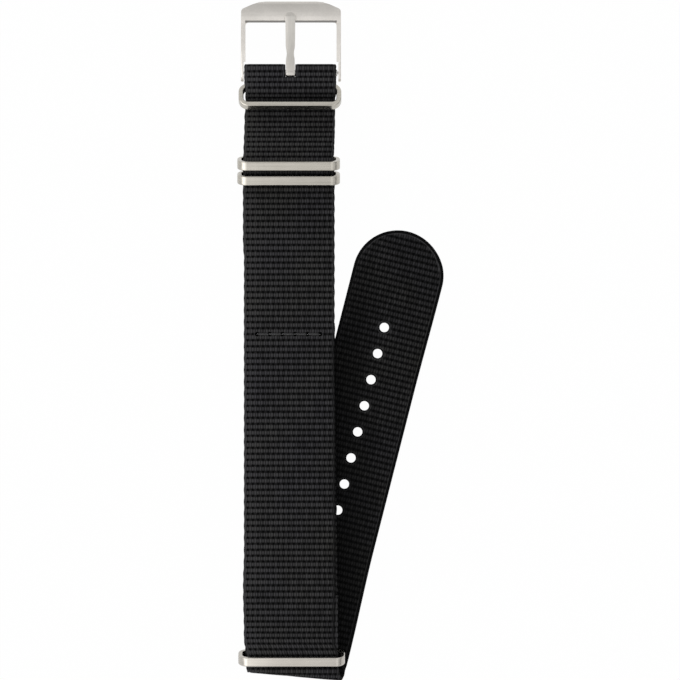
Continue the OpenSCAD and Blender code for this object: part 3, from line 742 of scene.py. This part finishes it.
tail_holes = [(TIP_S - FIRST_HOLE - i * HOLE_PITCH, 0.0, *PUNCHED_HOLE, False) for i in range(HOLE_N)]
tip_rows = LONG_LENGTH - np.array([2.2, 1.7, 1.3, 0.95, 0.65, 0.42, 0.25, 0.13, 0.06, 0.025])
long_cloth = Cloth(weaves["long"], [SEAM_UNDER_S, SEAM_OVER_S], LONG_WIDER, round_tip=True, loop_s=LOOP_S)
long_webbing = cloth_mesh(
    "long_webbing", long_cloth, place_long, [SLOT_X0, SLOT_X1], extra_rows=tip_rows,
    holes=tail_holes + needle_holes(SEAM_UNDER_S) + needle_holes(SEAM_OVER_S),
    slots=[(SLOT_S0, SLOT_S1, SLOT_X0, SLOT_X1)],
)

# %% The short strap
mirrored = [-x for x in NEEDLE_X]
short_cloth = Cloth(weaves["short"], [SHORT_SEAM_S, SHORT_LOOP_IN_S, SHORT_LOOP_OUT_S], SHORT_WIDER)
short_webbing = cloth_mesh(
    "short_webbing", short_cloth, place_short, [],
    holes=needle_holes(SHORT_SEAM_S, [SHORT_SHIFT - x for x in NEEDLE_X])
    + needle_holes(SHORT_LOOP_IN_S, mirrored) + needle_holes(SHORT_LOOP_OUT_S, mirrored),
)

# %% [markdown]
# ## The sewing
# A lockstitch shows as short lengths of thread that dive into a needle hole at both ends. The thread is three
# strands twisted together, and each strand is a thin tube that winds round the way of the stitch.

# %% Tubes
def directions(path):
    """Ahead and sideways at each point of a path that stays near one plane of y."""
    ahead = np.gradient(path, axis=0)
    ahead /= np.linalg.norm(ahead, axis=1)[:, None]
    side = np.cross(ahead, [0, 1, 0])
    return ahead, side / np.linalg.norm(side, axis=1)[:, None]


def tube(path, side, third, radius, sides):
    """Points and faces of a closed tube along a path. side and third are the two directions across it."""
    turn = 2 * math.pi * np.arange(sides) / sides
    ring = np.cos(turn)[None, :, None] * side[:, None] + np.sin(turn)[None, :, None] * third[:, None]
    points = (path[:, None] + radius * ring).reshape(-1, 3)
    i, j = np.meshgrid(np.arange(len(path) - 1), np.arange(sides), indexing="ij")
    a, b = i * sides + j, i * sides + (j + 1) % sides
    faces = np.stack([a, b, b + sides, a + sides], axis=-1).reshape(-1, 4).tolist()
    last = (len(path) - 1) * sides
    return points, faces + [list(range(sides)), [last + k for k in reversed(range(sides))]]


def tube_object(name, points, faces):
    """A smooth object of closed tubes whose faces all look outward."""
    mesh = bpy.data.meshes.new(name)
    mesh.from_pydata(points.tolist(), [], faces)
    bm = bmesh.new()
    bm.from_mesh(mesh)
    bmesh.ops.recalc_face_normals(bm, faces=bm.faces)
    bm.to_mesh(mesh)
    bm.free()
    mesh.shade_smooth()
    print(f"{name}: {len(faces)} faces")
    return new_object(name, mesh)


# %% Stitches of three twisted strands
STRAND_R, STRAND_OFF, STRAND_SIDES, TWIST = 0.18, 0.165, 6, 1.2
STITCH_INSET, STITCH_CORNER, STITCH_BOW, STITCH_STEPS = 0.42, 0.3, 0.05, 40
THREAD_SINK, THREAD_GAP = 0.02, 0.1


def stitch_path(x0, x1, y, z, deep, up):
    """Points of one stitch: out of one needle hole, across, and into the next."""
    start, end, corner = x0 + STITCH_INSET, x1 - STITCH_INSET, STITCH_CORNER
    bend = [(corner * (1 - math.cos(a)), corner * (math.sin(a) - 1)) for a in np.linspace(0.3, 1.57, 5)]
    points = [(start, -deep), (start, -corner)] + [(start + px, pz) for px, pz in bend]
    flat = end - start - 2 * corner
    points += [(start + corner + flat * t, STITCH_BOW * math.sin(math.pi * t)) for t in (0.25, 0.5, 0.75)]
    points += [(end - px, pz) for px, pz in reversed(bend)] + [(end, -corner), (end, -deep)]
    way = np.array([[px, y, z + up * pz] for px, pz in points])
    travel = np.concatenate([[0], np.cumsum(np.linalg.norm(np.diff(way, axis=0), axis=1))])
    at = np.linspace(0, travel[-1], STITCH_STEPS)
    return np.stack([np.interp(at, travel, way[:, k]) for k in range(3)], axis=1), at


def stitch_row(name, y, x_shift, lowest, highest):
    """A row of stitches through the layers from the lowest to the highest, seen on both faces."""
    low, high = level(lowest) - WEB_T / 2, level(highest) + WEB_T / 2
    points, faces = [], []
    for z, up in ((high - THREAD_SINK, 1), (low + THREAD_SINK, -1)):
        for x0, x1 in zip(NEEDLE_X, NEEDLE_X[1:]):
            path, at = stitch_path(x0 + x_shift, x1 + x_shift, y, z, (high - low) / 2 - THREAD_GAP, up)
            side = directions(path)[1]
            for strand in range(3):
                turn = 2 * math.pi * (at / TWIST + strand / 3)
                way = path + STRAND_OFF * (np.cos(turn)[:, None] * side + np.sin(turn)[:, None] * [0, 1, 0])
                ahead, across = directions(way)
                more_points, more_faces = tube(way, across, np.cross(ahead, across), STRAND_R, STRAND_SIDES)
                faces += [[v + len(points) for v in face] for face in more_faces]
                points += more_points.tolist()
    return tube_object(name, to_scene(points), faces)


seam_thread = stitch_row("seam_thread", SEAM_Y, 0.0, 1, 3)
end_thread = stitch_row("end_loop_thread", LOOP_STITCH_Y, SHORT_SHIFT, 1, 2)

# %% [markdown]
# ## Nylon
# The warp yarns that climb over every rib are 0.68 mm wide and lie side by side. Odd yarns climb over odd ribs and
# even yarns over even ribs, so from one rib to the next they are half a yarn out of step. The mesh is too coarse for
# them, so the material makes them: a wave across the strap gives each yarn a round back, and fine fibres run along
# it. The colour also holds painted light: a painted highlight on the crests and yarn backs, and painted shade that
# takes the furrows nearly black, most of all between two pairs of yarns, over the real shade of the ribs. Sealed
# nylon is darker and shinier than the weave. The face that the tail shows is the strap's inner one, and it is darker
# and flatter.

# %% Helpers for materials
BLACK = (0.0, 0.0, 0.0)


def join(tree, *values):
    """A vector from its parts."""
    return add(tree, "ShaderNodeCombineXYZ", dict(enumerate(values))).outputs[0]


def noise(tree, vector, scale, detail):
    return add(tree, "ShaderNodeTexNoise", {"Vector": vector, "Scale": scale, "Detail": detail}).outputs[0]


def toned(tree, value, mask, to_low, to_high, low=0.0, high=1.0):
    """A value times a mask whose low..high is spread over to_low..to_high."""
    return times(tree, value, spread(tree, mask, low, high, to_low, to_high))


def blend_colours(tree, factor, dark, light):
    """Mix of two plain colours or colour outputs by a mask."""
    return add(tree, "ShaderNodeMix", {0: factor, 6: dark, 7: light}, data_type="RGBA").outputs[2]


def bump(tree, height, strength, distance, over=None):
    """The surface's tilt for a height, on top of another tilt where one is given."""
    inputs = {"Height": height, "Strength": strength, "Distance": distance}
    if over:
        inputs["Normal"] = over
    return add(tree, "ShaderNodeBump", inputs).outputs[0]


def new_group(name, vector, numbers):
    """A shader node group that takes a vector and some numbers."""
    tree = bpy.data.node_groups.new(name, "ShaderNodeTree")
    tree.interface.new_socket(vector, in_out="INPUT", socket_type="NodeSocketVector")
    for label, value in numbers.items():
        tree.interface.new_socket(label, in_out="INPUT", socket_type="NodeSocketFloat").default_value = value
    return tree, add(tree, "NodeGroupInput").outputs


def give(tree, **masks):
    """What a shader node group puts out."""
    for label in masks:
        tree.interface.new_socket(label, in_out="OUTPUT", socket_type="NodeSocketFloat")
    add(tree, "NodeGroupOutput", masks)
    print("group", tree.name, "gives", ", ".join(masks))


def use_group(tree, group, **values):
    inputs = {label.replace("_", " "): value for label, value in values.items()}
    return add(tree, "ShaderNodeGroup", inputs, node_tree=group).outputs


def new_material(name):
    """A material, its node tree, its shader, and the place of the point that is shaded."""
    material = bpy.data.materials.new(name)
    material.use_nodes = True
    tree = material.node_tree
    return material, tree, tree.nodes["Principled BSDF"], add(tree, "ShaderNodeTexCoord").outputs["Object"]


def dress(tree, shader, colour, roughness, normal):
    """Feeds what changes over the surface into its shader."""
    for value, label in ((colour, "Base Color"), (roughness, "Roughness"), (normal, "Normal")):
        feed(tree, value, shader.inputs[label])


print("material helpers are ready")

# %% Group: yarns over ribs
FIBRES_ACROSS, FIBRES_ALONG = 2.5, 0.5
YARN_ROUND, FIBRE_RELIEF = 0.6, 0.3

yarns, given = new_group("rib_yarns", "Weave", {"Yarn Width": 0.6, "Fibre Scale": 6.0})


def ridges(value):
    """0 at whole numbers and 1 halfway between them."""
    return calc(yarns, "ABSOLUTE", calc(yarns, "SINE", times(yarns, value, math.pi)))


across, ribs, _ = split(yarns, given["Weave"])
across_yarns = calc(yarns, "DIVIDE", across, given["Yarn Width"])
# Every other rib shifts its row of yarns by half a yarn
rib_number = calc(yarns, "FLOOR", ribs)
yarn_at = calc(yarns, "ADD", across_yarns, times(yarns, calc(yarns, "MODULO", rib_number, 2.0), 0.5))
yarn = ridges(yarn_at)
# One number for every yarn on every rib
own = join(yarns, calc(yarns, "FLOOR", yarn_at), rib_number)
chance = add(yarns, "ShaderNodeTexWhiteNoise", {"Vector": own}, noise_dimensions="2D").outputs["Value"]
# Fibres run along the strap, so their noise is stretched that way
fine = join(yarns, times(yarns, across, FIBRES_ACROSS), times(yarns, ribs, FIBRES_ALONG))
fibres = noise(yarns, fine, given["Fibre Scale"], 2)
height = calc(yarns, "ADD", calc(yarns, "POWER", yarn, YARN_ROUND), times(yarns, fibres, FIBRE_RELIEF))
give(
    yarns, Yarn=yarn, Pair=ridges(times(yarns, across_yarns, 0.5)), Rib=ridges(ribs), Height=height, Fibres=fibres,
    Chance=chance,
)

# %% Group: the slow change of colour that every woven or sewn piece has
cloudy, given = new_group("cloudy", "Vector", {"Size": 8.0})
scale = calc(cloudy, "DIVIDE", 1 / MM, given["Size"])
scaled = add(cloudy, "ShaderNodeVectorMath", {0: given["Vector"], "Scale": scale}, operation="SCALE").outputs[0]
give(cloudy, Mask=spread(cloudy, noise(cloudy, scaled, 1, 4), 0.3, 0.7))

# %% Woven nylon
YARN_WIDTH, MARGIN_X = 0.684, -7.5
CREST_COOL, CREST_WARM = (0.051, 0.050, 0.055), (0.053, 0.052, 0.0495)
PAINTED_FURROW_SHADE, SEALED = (0.0012, 0.0012, 0.0013), (0.0016, 0.0016, 0.0017)
PATCH_SIZE, HUE_SIZE = 7.0, 16.0

nylon, tree, shader, place = new_material("black_nylon_webbing")
own = add(tree, "ShaderNodeAttribute", attribute_name="weave").outputs["Vector"]
across, _, melted = split(tree, own)
edge, inner, shade = split(tree, add(tree, "ShaderNodeAttribute", attribute_name="side").outputs["Vector"])
pattern = use_group(tree, yarns, Weave=own, Yarn_Width=YARN_WIDTH)
patches = use_group(tree, cloudy, Vector=place, Size=PATCH_SIZE)["Mask"]
hue = use_group(tree, cloudy, Vector=place, Size=HUE_SIZE)["Mask"]
# Painted highlight and shade: on a crest each yarn's back is painted bright, and down in the furrow only every second
# gap between yarns is lighter
crest = spread(tree, pattern["Rib"], 0.35, 0.95, smooth=True)
backs = toned(tree, crest, pattern["Yarn"], 0.12, 1.18, 0.0, 0.85)
dots = toned(tree, spread(tree, pattern["Pair"], 0.3, 0.95, 0.0, 0.36), pattern["Fibres"], 0.35, 1.0, 0.35, 0.65)
lit = calc(tree, "ADD", backs, times(tree, dots, calc(tree, "SUBTRACT", 1.0, crest)))
lit = toned(tree, lit, pattern["Chance"], 0.68, 1.15)
lit = toned(tree, lit, pattern["Pair"], 0.7, 1.12)
lit = toned(tree, lit, pattern["Fibres"], 0.85, 1.05, 0.3, 0.7)
lit = toned(tree, lit, patches, 0.88, 1.06)
# Along each edge a smooth selvedge: a black rim, where painted shade adds to the real shade of the lip rounding down,
# then a thin paler line
pale_line = toned(tree, spread(tree, edge, 0.25, 0.4), edge, 1.0, 0.0, 0.6, 0.75)
lit = calc(tree, "ADD", toned(tree, lit, pale_line, 1.0, 0.5), times(tree, pale_line, 0.4))
lit = toned(tree, lit, edge, 0.35, 1.0, 0.1, 0.3)
# Painted light: the strap's left margin is painted paler, as if it rolled toward the light, and the right one darker,
# as if turned away from it
lit = toned(tree, lit, across, 1.8, 1.0, -WEB_W / 2, MARGIN_X)
lit = toned(tree, lit, across, 1.04, 0.88, MARGIN_X, WEB_W / 2)
# The inner face is darker, and a thin paler line runs where a sealed rim meets the weave
rim_line = toned(tree, spread(tree, melted, 0.0, 0.2), melted, 1.0, 0.0, 0.45, 0.8)
lit = calc(tree, "ADD", toned(tree, lit, inner, 1.0, 0.54), times(tree, rim_line, 0.55))
lit = toned(tree, lit, shade, 1.0, 0.3)
# Painted shade: where lit is low, in the furrows, the colour goes to near black
woven = blend_colours(tree, lit, PAINTED_FURROW_SHADE, blend_colours(tree, hue, CREST_COOL, CREST_WARM))
relief = times(tree, pattern["Height"], calc(tree, "SUBTRACT", 1.0, melted))
dress(
    tree, shader, blend_colours(tree, spread(tree, melted, 0.45, 0.8), woven, SEALED),
    spread(tree, melted, 0.0, 1.0, 0.75, 0.5), bump(tree, relief, 0.8, 0.16 * MM),
)
shader.inputs["Specular IOR Level"].default_value = 0.035
print(nylon.name, "has", len(tree.nodes), "nodes")

# %% Sewing thread
THREAD_DARK, THREAD_PALE = (0.008, 0.008, 0.0085), (0.022, 0.022, 0.023)
THREAD_PATCH = 0.8

thread, tree, shader, place = new_material("black_thread")
patches = use_group(tree, cloudy, Vector=place, Size=THREAD_PATCH)["Mask"]
dress(
    tree, shader, blend_colours(tree, patches, THREAD_DARK, THREAD_PALE),
    spread(tree, patches, 0.0, 1.0, 0.38, 0.55), bump(tree, patches, 0.4, 0.05 * MM),
)
print(thread.name, "has", len(tree.nodes), "nodes")

# %% Dress the soft pieces and hide the CAD nodes that they take the place of
for obj, node, material, slot in (
    (long_webbing, "long_strap", nylon, "webbing"), (short_webbing, "short_strap", nylon, "webbing"),
    (seam_thread, "seam_stitches", thread, "thread"), (end_thread, "end_loop_stitches", thread, "thread"),
):
    obj.data.materials.append(material)
    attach(obj, "strap")
    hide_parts(node)
print("soft pieces dressed")

# %% [markdown]
# ## Steel
# The rings are brushed along the band, and the buckle is blasted to a soft satin. Both are bare steel: a metal
# shader, warm grey, with a fine grain that changes roughness and tilts the surface a little.

# %% Group: grain of steel
WORN_SCALE = 260

grain, given = new_group("steel_grain", "Vector", {"Along": 0.05, "Across": 4.0, "Deep": 4.0})
sizes = [given[label] for label in ("Along", "Across", "Deep")]
finer = [times(grain, part, 1 / MM, size) for part, size in zip(split(grain, given["Vector"]), sizes)]
give(
    grain, Grain=spread(grain, noise(grain, join(grain, *finer), 1, 3), 0.25, 0.75),
    Worn=spread(grain, noise(grain, given["Vector"], WORN_SCALE, 3), 0.35, 0.65),
)


# %% Steel
def steel(name, colour, rough, fineness, bump_height, streaks, crown=None, painted_shading=None):
    """Bare steel. rough is (least, most) roughness, fineness that of the grain from left to right, along the strap
    and in depth, and streaks how dark the darkest line of grain is. A crown (radius, middle), in millimetres, bows the
    surface from left to right. The last argument, a function of (tree, x, y), paints one more change of light and shade
    into the colour."""
    material, tree, shader, place = new_material(name)
    lines = use_group(tree, grain, Vector=place, **dict(zip(("Along", "Across", "Deep"), fineness)))
    x, y = (calc(tree, "SUBTRACT", times(tree, part, 1 / MM), start) for part, start in zip(split(tree, place), ORIGIN))
    shade = toned(tree, spread(tree, lines["Grain"], 0, 1, streaks, 1.0), lines["Worn"], 0.96, 1.0)
    # Painted light and shade, for the pieces that have it
    if painted_shading:
        shade = times(tree, shade, painted_shading(tree, x, y))
    bow = None
    if crown:
        radius, middle = crown
        off = calc(tree, "SUBTRACT", x, middle)
        bow = bump(tree, times(tree, off, off, -0.5 / radius), 1, MM)
    dress(
        tree, shader, blend_colours(tree, shade, BLACK, colour),
        spread(tree, times(tree, lines["Grain"], lines["Worn"]), 0, 1, *rough),
        bump(tree, lines["Grain"], 0.5, bump_height * MM, over=bow),
    )
    shader.inputs["Metallic"].default_value = 1
    return material


# %% Painted light and shade of the buckle and the tang
BUCKLE_X, WINDOW_HALF, BAR_DEPTH = 0.6, 12.15, 4.85
LIP_Y, BEVEL = 13.95, 0.45


def buckle_painted_shading(tree, x, y):
    """Painted light and shade: the bar is painted brighter toward the window's lip, as a bowed bar would reflect the
    room, and the lip's bevel is painted dark, as if it reflected the black strap.
    """
    bar = spread(tree, y, LIP_Y + BAR_DEPTH, LIP_Y, 0.71, 0.985)
    legs = spread(tree, y, LIP_Y - BEVEL - 0.3, LIP_Y - BEVEL, -0.06, 0.0)
    off = calc(tree, "ABSOLUTE", calc(tree, "SUBTRACT", x, BUCKLE_X))
    bevel = spread(tree, y, LIP_Y - BEVEL - 0.15, LIP_Y - BEVEL)
    bevel = toned(tree, bevel, y, 1.0, 0.0, LIP_Y - 0.05, LIP_Y + 0.1)
    bevel = toned(tree, bevel, off, 1.0, 0.0, WINDOW_HALF, WINDOW_HALF + 0.15)
    return toned(tree, calc(tree, "ADD", bar, legs), bevel, 1.0, 0.3)


def tang_painted_shading(tree, x, y):
    """Painted light: bright at both ends and duller in the middle, as its curved blade would reflect the room."""
    return calc(tree, "ADD", spread(tree, y, 6.0, 11.0, 0.0, 0.1), spread(tree, y, 1.0, 4.0, 1.0, 0.9))


# %% Dress the steel pieces
# Roughness, fineness, height of the bump and streaks of each finish
BRUSHED = (0.22, 0.32), (0.04, 1.7, 1.7), 0.012, 0.8
BUCKLE_SATIN = (0.34, 0.42), (3.0, 3.0, 3.0), 0.008, 0.9
TANG_SATIN = (0.28, 0.38), (4.0, 0.4, 4.0), 0.008, 0.9
TURNED = (0.22, 0.32), (0.3, 6.0, 6.0), 0.004, 0.9

bar_steel = steel("bar_steel", (0.58, 0.57, 0.55), *TURNED)
ring_steel = steel("ring_brushed_steel", (0.515, 0.489, 0.436), *BRUSHED, crown=(100, TOP_SHIFT))
finishes = {
    ring_steel: ["ring_1", "ring_2", "ring_3"],
    steel("end_ring_brushed_steel", (0.53, 0.50, 0.455), *BRUSHED, crown=(80, 6.0)): ["ring_4"],
    steel("buckle_satin_steel", (0.83, 0.794, 0.746), *BUCKLE_SATIN, painted_shading=buckle_painted_shading): ["buckle_frame"],
    steel("tang_satin_steel", (0.63, 0.606, 0.567), *TANG_SATIN, crown=(9, TANG_X), painted_shading=tang_painted_shading): ["tang"],
    bar_steel: ["spring_bar_tube", "spring_bar_tip_left", "spring_bar_tip_right", "spring_bar_spring"],
}
for finish, names in finishes.items():
    for name in names:
        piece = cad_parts[name]
        if not piece.material_slots:
            piece.data.materials.append(finish)
        for slot in piece.material_slots:
            slot.material = finish
print("steel pieces:", sum(len(names) for names in finishes.values()))

# %% [markdown]
# The coil spring lies unseen in the spring bar's tube. It is made here in two halves that meet in the middle, and
# both halves ride with the buckle.

# %% Coil spring in two halves
WIRE_R, COIL_R, COIL_TURNS, TIP_SLIDE = 0.1 * MM, 0.45 * MM, 22, 0.75 * MM
STEPS_IN_TURN, WIRE_SIDES = 20, 8
coil_low, coil_high = (np.array(corner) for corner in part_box("spring_bar_spring"))
coil_middle = (coil_low + coil_high) / 2
coil_half = (coil_high[0] - coil_low[0]) / 2


def half_coil(name, side):
    """One half of the coil, from the middle out to the left (side -1) or the right (1)."""
    steps = COIL_TURNS // 2 * STEPS_IN_TURN
    angle = 2 * math.pi * np.arange(steps + 1) / STEPS_IN_TURN
    along = side * (coil_half - WIRE_R) * np.arange(steps + 1) / steps
    outward = np.stack([np.zeros_like(angle), np.cos(angle), side * np.sin(angle)], axis=1)
    path = coil_middle + along[:, None] * [1, 0, 0] + COIL_R * outward
    half = tube_object(name, *tube(path, outward, np.zeros_like(path) + [1, 0, 0], WIRE_R, WIRE_SIDES))
    half.data.materials.append(bar_steel)
    return half


for side, half_name, joint in ((-1, "spring_left_half", "tip_left_slide"), (1, "spring_right_half", "tip_right_slide")):
    half = half_coil(half_name, side)
    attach(half, "buckle")
    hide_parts("spring_bar_spring")
    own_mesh(half)
print(f"each half of the coil is {coil_half / MM:.2f} mm long, with {COIL_TURNS // 2} turns")
